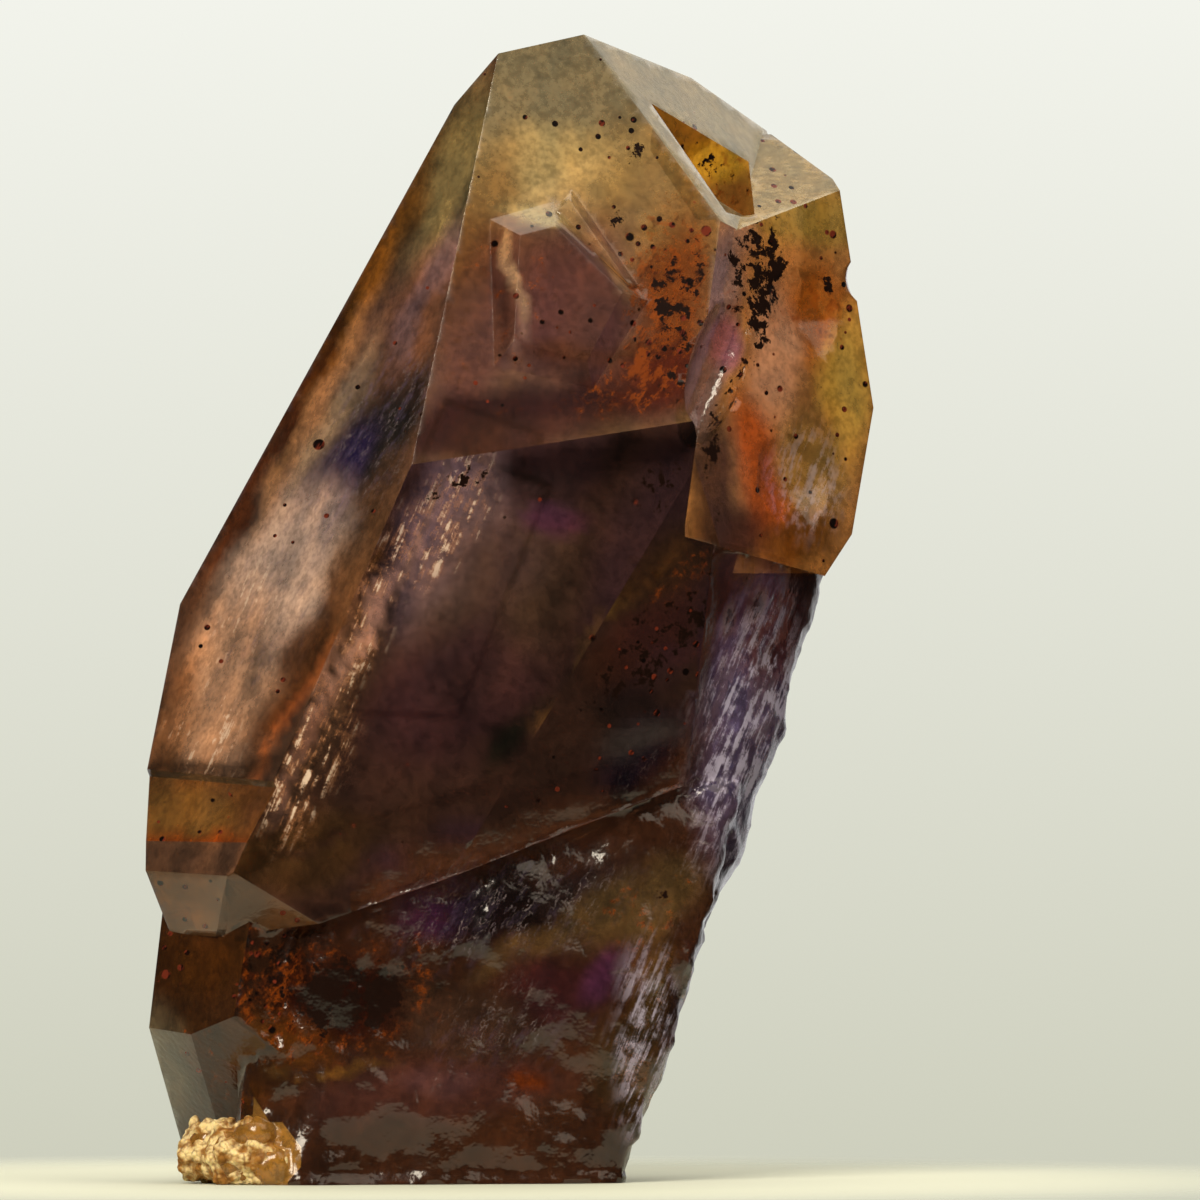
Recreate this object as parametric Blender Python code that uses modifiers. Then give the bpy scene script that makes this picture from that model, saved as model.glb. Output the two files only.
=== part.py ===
"""A natural amethyst point with honey and smoky zones, one solid crystal about 60 mm tall.

A large main crystal leans to the right as it rises, and a smaller side crystal has grown onto its right
shoulder. The lower body is stepped on the left and broken away on the right. It stands on a flat cut.
Blender 4.5, metres, +Z up. X runs left to right and -Y is the front. Run it with
blender --background --python part.py
"""

import bmesh
import bpy
from mathutils import Matrix, Vector

MM = 0.001
RAW_BLOCK = 150.0  # side of the cube that each crystal is cut from, in mm
RAW_MIDDLE = (5.0, 0.0, 30.0)
UNDER_BASE = (0.0, 0.0, -3.0)  # blocks run this far past the flat cut, which takes it off again

# Corners of the point in mm, measured from the middle of the flat cut under it.
FRONT_CORNER = (-0.1, -10.5, 37.5)
TIP = (8.9, -1.2, 60.1)
LEFT_TIP = (4.3, -2.3, 59.05)
LEFT_SHOULDER = (1.3, -0.7, 55.1)
RIGHT_SHOULDER = (16.0, -3.6, 50.4)
BACK_RIDGE = (14.4, 6.8, 58.1)
BACK_SHOULDER = (18.8, 9.6, 55.2)
CREASE = (8.9, -8.3, 27.9)
STEP_RIDGE = (-9.4, -8.3, 21.2)
LEFT_KNEE = (-14.05, -1.5, 21.5)
HEEL = (-9.7, -11.3, 16.1)
RIM = (-0.5, -10.0, 15.1)
LEFT_NOTCH = (-13.3, -3.0, 13.2)
LOW_FRONT = (-9.2, -9.3, 10.5)
LOW_KNEE = (-13.9, -3.8, 8.1)
LOW_TOE = (-11.9, -6.5, 7.7)
SIDE_TIP = (22.6, 3.2, 52.1)
SIDE_FRONT = (17.5, -1.95, 50.1)
SIDE_WAIST = (24.0, 2.0, 40.4)
SIDE_HIP = (22.2, 0.0, 32.8)
SIDE_LEDGE = (17.2, -6.9, 32.9)
FLANK_TOP = (23.0, -3.0, 31.0)
FLANK_TURN = (19.3, -4.0, 18.9)
FOOT_SIDE = (16.1, -4.0, 15.5)

# Ways that the crystal faces look. A face that the crystal repeats further down is parallel to the first.
FRONT_TIP_FACE = (0.15, -1.0, 0.35)
FRONT_PRISM_FACE = (0.21, -1.0, -0.035)
FRONT_RIGHT_FACE = (0.42, -1.0, -0.16)
LEFT_FACE = (-1.42, -1.0, 0.675)
RIGHT_TIP_FACE = (2.09, -1.0, 1.76)
RIGHT_PRISM_FACE = (1.34, -1.0, 0.19)
BACK_TIP_FACE = (-0.69, 1.0, 2.03)
BACK_RIGHT_FACE = (0.9, 1.0, -0.1)
PALE_STEP_FACE = (-1.5, -1.0, -1.0)
BROKEN_SIDE = (0.948, 0.3, -0.319)
UP = (0.0, 0.0, 1.0)
DOWN = (0.0, 0.0, -1.0)

# The broken quartz: the size of its facets and how deep its shells are, in mm.
FACET = 1.3
FINE_FACET = 0.8
SHELL_WIDTH = 5.0
SHELL_DEPTH = 1.3
CHIP_WIDTH = 2.0
CHIP_DEPTH = 0.5
CRUST_GRAIN = 1.2
CRUST_DEPTH = 0.9


def clear_scene():
    for old in list(bpy.data.objects):
        bpy.data.objects.remove(old, do_unlink=True)


def new_collection(name):
    made = bpy.data.collections.new(name)
    bpy.context.scene.collection.children.link(made)
    return made


def quartz_material():
    """Violet and smoky quartz: clear, glassy and stained brown."""
    made = bpy.data.materials.new("smoky_violet_quartz")
    made.use_nodes = True
    shader = made.node_tree.nodes["Principled BSDF"]
    shader.inputs["Base Color"].default_value = (0.36, 0.20, 0.16, 1.0)
    shader.inputs["Roughness"].default_value = 0.12
    shader.inputs["Metallic"].default_value = 0.0
    shader.inputs["IOR"].default_value = 1.544
    shader.inputs["Transmission Weight"].default_value = 0.8
    return made


def object_from(mesh, name, collection):
    data = bpy.data.meshes.new(name)
    mesh.to_mesh(data)
    mesh.free()
    made = bpy.data.objects.new(name, data)
    collection.objects.link(made)
    return made


def helper_from(mesh, name, collection):
    """An object that only joins or cuts the crystal and is not a piece of its own."""
    made = object_from(mesh, name, collection)
    made.hide_render = True
    made.display_type = "WIRE"
    return made


def crystal_mesh(faces):
    """A cube cut down by one flat face after another, each a point on the face and the way it looks."""
    mesh = bmesh.new()
    place = Matrix.Translation(Vector(RAW_MIDDLE) * MM)
    bmesh.ops.create_cube(mesh, size=RAW_BLOCK * MM, matrix=place)
    for point, facing in faces:
        cut = bmesh.ops.bisect_plane(
            mesh,
            geom=mesh.verts[:] + mesh.edges[:] + mesh.faces[:],
            plane_co=Vector(point) * MM,
            plane_no=Vector(facing).normalized(),
            clear_outer=True,
        )
        rim = [part for part in cut["geom_cut"] if isinstance(part, bmesh.types.BMEdge)]
        bmesh.ops.edgeloop_fill(mesh, edges=rim)
    bmesh.ops.recalc_face_normals(mesh, faces=mesh.faces[:])
    return mesh


def reverse(facing):
    return tuple(-value for value in facing)


def even_facets(block, size):
    grain = block.modifiers.new("even_facets", "REMESH")
    grain.mode = "VOXEL"
    grain.voxel_size = size * MM


def push_by_pattern(block, name, width, depth):
    """Pushes the surface in and out by cells of this width, in mm."""
    pattern = bpy.data.textures.new(block.name + "_" + name, "VORONOI")
    pattern.noise_scale = width * MM
    push = block.modifiers.new(name, "DISPLACE")
    push.texture = pattern
    push.texture_coords = "LOCAL"
    push.mid_level = 0.4
    push.strength = depth * MM


def break_surface(block):
    """Turns a smooth block into broken quartz: pushed in by wide shells and small chips, in even facets."""
    even_facets(block, FINE_FACET)
    push_by_pattern(block, "shell", SHELL_WIDTH, SHELL_DEPTH)
    push_by_pattern(block, "chip", CHIP_WIDTH, CHIP_DEPTH)
    even_facets(block, FACET)


def main_crystal(collection):
    """The tall crystal: its tip faces, its striped front, its left side and the stepped heel."""
    faces = [
        (FRONT_CORNER, FRONT_TIP_FACE),
        (FRONT_CORNER, FRONT_PRISM_FACE),
        (FRONT_CORNER, LEFT_FACE),
        (TIP, RIGHT_TIP_FACE),
        (TIP, BACK_TIP_FACE),
        (BACK_RIDGE, (-0.02, 1.0, 1.29)),
        (LEFT_TIP, (-0.85, 1.0, 1.3)),
        (LEFT_SHOULDER, (-1.6, 1.0, 0.99)),
        (RIGHT_SHOULDER, RIGHT_PRISM_FACE),
        (CREASE, FRONT_RIGHT_FACE),
        (LEFT_KNEE, (-1.0, 0.35, 0.05)),
        (LEFT_KNEE, (-1.0, 0.35, -0.235)),
        (HEEL, PALE_STEP_FACE),
        (HEEL, (-0.5, -1.0, -1.2)),
        (RIM, (0.3, 0.25, -1.0)),
        ((-11.0, 5.5, 25.0), (-0.9, 1.0, 0.3)),
        ((0.0, 10.5, 30.0), (-0.15, 1.0, 0.07)),
        ((19.0, 8.5, 34.0), BACK_RIGHT_FACE),
        (BACK_SHOULDER, (1.0, 0.3, 0.13)),
        ((20.0, 0.0, 31.0), BROKEN_SIDE),
        ((14.3, -6.0, 25.0), (1.6, -1.0, -0.3)),
    ]
    return object_from(crystal_mesh(faces), "amethyst_point", collection)


def lower_body(collection):
    """The set-back lower body, down to the flat cut, with the lower pale step at its left."""
    faces = [
        (LOW_FRONT, (0.2, -1.0, 0.05)),
        ((8.0, -6.0, 10.0), (0.8, -1.0, 0.0)),
        (LEFT_NOTCH, (-1.29, -1.0, 0.3)),
        (LOW_KNEE, (-1.5, -1.0, -1.3)),
        (LOW_TOE, (-0.7, -1.0, -1.08)),
        (LOW_KNEE, (-1.0, 0.35, 0.06)),
        ((-9.0, 6.0, 8.0), (-0.7, 1.0, -0.1)),
        ((0.0, 9.0, 8.0), (0.05, 1.0, -0.05)),
        ((10.5, 0.0, 8.0), BROKEN_SIDE),
        ((0.0, 0.0, 20.0), UP),
        (UNDER_BASE, DOWN),
    ]
    return helper_from(crystal_mesh(faces), "lower_body", collection)


def broken_flank(collection):
    """The right side below the side crystal, where the crystal has broken away."""
    faces = [
        ((15.2, -5.6, 24.0), (1.5, -1.0, -0.25)),
        ((12.0, -5.3, 24.0), (0.5, -1.0, -0.1)),
        (FLANK_TOP, (1.0, 0.3, -0.32)),
        (FLANK_TURN, (1.0, 0.2, -0.65)),
        ((18.0, 7.8, 28.0), BACK_RIGHT_FACE),
        ((0.0, 9.3, 24.0), (0.0, 1.0, 0.0)),
        ((9.0, 0.0, 24.0), (-1.0, 0.0, 0.0)),
        ((17.0, 0.0, 34.5), (0.28, 0.0, 1.0)),
        (UNDER_BASE, DOWN),
    ]
    made = helper_from(crystal_mesh(faces), "broken_flank", collection)
    break_surface(made)
    return made


def broken_foot(collection):
    """The broken front and right of the lower body."""
    faces = [
        ((3.0, -7.7, 8.0), (0.25, -1.0, 0.05)),
        ((-6.5, -9.0, 8.0), (-0.45, -1.0, 0.1)),
        ((-8.0, 0.0, 8.0), (-1.0, 0.0, 0.2)),
        (FOOT_SIDE, (1.0, 0.3, -0.34)),
        ((0.0, 9.5, 8.0), (0.0, 1.0, -0.05)),
        ((-0.5, 0.0, 16.2), (-0.3, 0.0, 1.0)),
        (UNDER_BASE, DOWN),
    ]
    made = helper_from(crystal_mesh(faces), "broken_foot", collection)
    break_surface(made)
    return made


def side_crystal(collection):
    """The smaller crystal on the right shoulder, ending below in a broken ledge."""
    faces = [
        (SIDE_TIP, (0.1, -1.0, 2.3)),
        (SIDE_FRONT, (0.91, -1.0, 0.27)),
        ((22.5, 3.3, 52.4), (2.03, 0.8, 0.9)),
        (SIDE_WAIST, (1.0, 0.2, 0.127)),
        (SIDE_WAIST, (0.977, 0.1, -0.214)),
        (SIDE_HIP, (0.836, 0.0, -0.549)),
        (SIDE_LEDGE, (-0.28, 0.0, -1.0)),
        ((14.0, -7.3, 36.0), (-0.5, -1.0, -0.15)),
        ((16.3, 0.0, 50.4), (-1.0, 0.0, 0.134)),
        (BACK_SHOULDER, (-0.2, 1.0, 1.2)),
        ((18.0, 9.2, 42.0), (0.3, 1.0, -0.1)),
    ]
    return helper_from(crystal_mesh(faces), "side_crystal", collection)


def raised_plate(collection):
    """The small crystal that stands about 1 mm proud of the large front face, with sloping edges."""
    faces = [
        ((7.7, -7.1, 46.9), (0.15, -1.0, 0.28)),
        ((6.8, -4.75, 51.1), (-0.07, -0.6, 0.78)),
        ((8.1, -4.5, 50.6), (0.6, -0.48, 0.67)),
        ((4.1, -6.45, 47.4), (-0.52, -0.8, 0.26)),
        ((11.8, -5.95, 45.6), (0.62, -0.78, -0.04)),
        ((7.1, -7.85, 42.0), (0.02, -0.98, -0.21)),
        ((7.6, -5.0, 46.6), reverse(FRONT_TIP_FACE)),
    ]
    return helper_from(crystal_mesh(faces), "raised_plate", collection)


def raised_rib(collection):
    """The narrow rib that runs down to the right beside the raised plate, under half a millimetre proud."""
    middle = (9.5, -5.55, 48.9)
    upper_side = (9.8, -5.3, 49.15)
    lower_side = (9.2, -5.3, 48.65)
    faces = [
        (middle, (0.15, -1.0, 0.33)),
        (upper_side, (0.75, -0.6, 0.66)),
        (lower_side, (-0.75, -0.6, -0.66)),
        ((7.5, -4.6, 51.1), (-0.66, -0.4, 0.75)),
        ((11.4, -5.8, 46.8), (0.66, -0.4, -0.75)),
        ((9.5, -4.2, 48.9), reverse(FRONT_TIP_FACE)),
    ]
    return helper_from(crystal_mesh(faces), "raised_rib", collection)


def back_plate(collection):
    """A low growth ledge on the back, with its edges along the crystal's own edges."""
    faces = [
        ((0.0, 10.9, 36.0), (-0.15, 1.0, 0.07)),
        ((-5.5, 0.0, 34.0), (-1.0, 0.4, 0.42)),
        ((9.0, 0.0, 34.0), (1.0, 0.4, -0.4)),
        ((0.0, 0.0, 44.0), (0.3, 0.5, 1.0)),
        ((0.0, 0.0, 19.0), (-0.1, 0.5, -1.0)),
        ((0.0, 7.0, 30.0), (0.0, -1.0, 0.0)),
    ]
    return helper_from(crystal_mesh(faces), "back_plate", collection)


def tip_recess(collection):
    """The wedge that is missing from the right tip face, which leaves a thin strip along the front edge."""
    corner = (12.4, -0.2, 56.6)
    faces = [
        (corner, (-1.0, 0.98, 0.1)),
        (corner, (-0.44, -0.9, 0.0)),
        ((17.7, 0.0, 52.0), (1.0, 0.0, 0.1)),
        ((16.3, -2.2, 50.8), (0.25, -0.3, -0.95)),
        ((11.1, 0.4, 55.3), reverse((0.72, -0.34, 0.6))),
        ((22.0, -6.0, 62.0), (0.72, -0.34, 0.6)),
    ]
    return helper_from(crystal_mesh(faces), "tip_recess", collection)


def growth_step(collection):
    """The shallow notch that makes the level ridge across the left side."""
    below = (-9.35, -8.8, 20.0)
    faces = [
        (STEP_RIDGE, reverse((-1.55, -1.0, -0.9))),
        (below, reverse((-1.42, -1.0, 0.85))),
        ((-6.9, 0.0, 20.0), (1.0, 0.0, 0.3)),
        ((-9.0, 0.0, 14.5), DOWN),
    ]
    return helper_from(crystal_mesh(faces), "growth_step", collection)


def hollow(name, middle, radii, turn, collection):
    """A smooth egg-shaped hollow. The turn is about the front-to-back axis, in radians."""
    mesh = bmesh.new()
    shape = Matrix.Diagonal(Vector(radii) * MM).to_4x4()
    place = Matrix.Translation(Vector(middle) * MM) @ Matrix.Rotation(turn, 4, "Y") @ shape
    bmesh.ops.create_icosphere(mesh, subdivisions=3, radius=1.0, matrix=place)
    return helper_from(mesh, name, collection)


def hollows(collection):
    """The smooth hollows between and on the two crystals, and the bay in the outline of the side one."""
    return [
        hollow("violet_groove", (16.5, -5.9, 43.9), (1.7, 2.6, 6.0), 0.4, collection),
        hollow("upper_hollow", (24.6, -5.3, 46.8), (7.0, 7.0, 7.0), 0.0, collection),
        hollow("lower_hollow", (24.0, -8.2, 38.0), (7.0, 7.0, 7.0), 0.0, collection),
        hollow("outline_bay", (25.1, 1.5, 47.4), (2.5, 9.0, 1.9), 0.0, collection),
    ]


def rusty_crust(collection):
    """Small lumps of yellow iron crust grown on the lower left corner."""
    lumps = [
        ((-10.4, -6.2, 1.6), 1.6),
        ((-9.2, -8.4, 1.2), 1.5),
        ((-8.3, -8.9, 2.4), 1.2),
        ((-7.4, -9.2, 1.0), 1.2),
    ]
    made = []
    for count, (middle, radius) in enumerate(lumps):
        mesh = bmesh.new()
        place = Matrix.Translation(Vector(middle) * MM)
        bmesh.ops.create_icosphere(mesh, subdivisions=2, radius=radius * MM, matrix=place)
        lump = helper_from(mesh, f"crust_lump_{count}", collection)
        push_by_pattern(lump, "knobs", CRUST_GRAIN, CRUST_DEPTH)
        made.append(lump)
    return made


def base_cut(collection):
    """Everything below the flat cut that the point stands on."""
    mesh = bmesh.new()
    place = Matrix.Translation(Vector((0.0, 0.0, -RAW_BLOCK / 2)) * MM)
    bmesh.ops.create_cube(mesh, size=RAW_BLOCK * MM, matrix=place)
    return helper_from(mesh, "base_cut", collection)


def combine(point, helper, operation):
    step = point.modifiers.new(helper.name, "BOOLEAN")
    step.operation = operation
    step.solver = "EXACT"
    step.object = helper


def main():
    clear_scene()
    crystal = new_collection("amethyst_point")
    helpers = new_collection("helpers")
    point = main_crystal(crystal)
    point.data.materials.append(quartz_material())
    combine(point, growth_step(helpers), "DIFFERENCE")
    grown = [
        lower_body(helpers),
        broken_flank(helpers),
        broken_foot(helpers),
        side_crystal(helpers),
        raised_plate(helpers),
        raised_rib(helpers),
        back_plate(helpers),
        *rusty_crust(helpers),
    ]
    for helper in grown:
        combine(point, helper, "UNION")
    for helper in (tip_recess(helpers), *hollows(helpers), base_cut(helpers)):
        combine(point, helper, "DIFFERENCE")


if __name__ == "__main__":
    main()
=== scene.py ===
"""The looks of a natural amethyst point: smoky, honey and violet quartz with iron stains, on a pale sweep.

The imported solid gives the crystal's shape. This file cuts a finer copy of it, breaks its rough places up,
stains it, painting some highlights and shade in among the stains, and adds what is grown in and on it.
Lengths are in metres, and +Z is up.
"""

import math
from collections import namedtuple

import bmesh
import bpy
import numpy as np
from bpy.props import FloatProperty, FloatVectorProperty, IntProperty, PointerProperty
from mathutils import Matrix, Vector, noise


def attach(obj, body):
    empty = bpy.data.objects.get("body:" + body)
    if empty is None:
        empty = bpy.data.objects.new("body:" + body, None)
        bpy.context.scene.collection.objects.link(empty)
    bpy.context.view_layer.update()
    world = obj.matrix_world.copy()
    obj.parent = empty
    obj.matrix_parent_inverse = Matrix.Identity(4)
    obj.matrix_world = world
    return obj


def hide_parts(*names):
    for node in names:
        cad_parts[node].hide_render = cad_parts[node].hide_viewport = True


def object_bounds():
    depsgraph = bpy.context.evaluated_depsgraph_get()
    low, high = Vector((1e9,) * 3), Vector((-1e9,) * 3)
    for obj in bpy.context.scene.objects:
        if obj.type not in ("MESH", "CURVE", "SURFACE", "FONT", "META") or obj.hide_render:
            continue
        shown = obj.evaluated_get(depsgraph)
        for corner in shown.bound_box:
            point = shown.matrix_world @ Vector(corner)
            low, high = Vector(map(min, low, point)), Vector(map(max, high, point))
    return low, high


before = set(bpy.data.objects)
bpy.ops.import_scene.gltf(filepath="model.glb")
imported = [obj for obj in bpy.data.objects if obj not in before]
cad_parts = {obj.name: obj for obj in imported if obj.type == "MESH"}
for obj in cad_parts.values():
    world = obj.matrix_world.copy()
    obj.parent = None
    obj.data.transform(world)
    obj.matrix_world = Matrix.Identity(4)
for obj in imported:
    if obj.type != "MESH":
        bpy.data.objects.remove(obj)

bl_info = {
    "name": "Amethyst point",
    "version": (1, 0, 0),
    "blender": (4, 5, 0),
    "location": "3D View > Sidebar > Amethyst",
    "description": "Stained quartz crystal with its inclusions, crust and studio",
    "category": "Object",
}

MM = 0.001
NODE = "amethyst_point"
BODY = "root"
LOW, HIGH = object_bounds()
MIDDLE = (LOW + HIGH) / 2


def linear(hex_colour):
    """An sRGB hex colour as linear red, green and blue."""
    parts = [int(hex_colour[place : place + 2], 16) / 255 for place in (1, 3, 5)]
    return tuple(c / 12.92 if c <= 0.04045 else ((c + 0.055) / 1.055) ** 2.4 for c in parts)


# The ways that the flat faces look, as the crystal's source gives them.
FACES = {
    "tip": (0.15, -1.0, 0.35),
    "front": (0.21, -1.0, -0.035),
    "front_right": (0.42, -1.0, -0.16),
    "left": (-1.42, -1.0, 0.675),
    "step": (-1.42, -1.0, 0.85),
    "right_tip": (2.09, -1.0, 1.76),
    "side_top": (0.1, -1.0, 2.3),
    "heel": (-1.5, -1.0, -1.0),
    "toe": (-0.5, -1.0, -1.2),
}
# All the places that a stain can be kept to. A face of the mesh belongs to one of them.
PLACES = [*FACES, "side", "low_heel", "recess", "crust", "broken", "back"]
# The faces with stripes that run along the ridge between them, and how far the ridge leans, in degrees.
STRIPED = ["front", "left"]
CALM = ["tip", "side", "right_tip", "side_top"]
RIDGE_TURN = 23

# One soft patch of colour. across and up are in mm from the middle of the base, seen from the front.
# half gives its half length and half width in mm, and turn tilts it in degrees, anticlockwise.
Patch = namedtuple("Patch", "place colour across up half turn strength")

GROUNDS = {
    "tip": "#8A6844",
    "front": "#33201A",
    "front_right": "#241611",
    "left": "#74523C",
    "step": "#8A5426",
    # The right tip and the side's top are painted pale: a painted reflection of the bright surround above them.
    "right_tip": "#B4A680",
    "side_top": "#C4AE80",
    "heel": "#6A5030",
    "toe": "#4A3218",
    "side": "#B87C40",
    "low_heel": "#4A2C12",
    # The recess's iron amber is painted bright: a painted glow of light shining through it.
    "recess": "#C8862A",
    "crust": "#B08038",
    "broken": "#402414",
    "back": "#8A6242",
}

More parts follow.
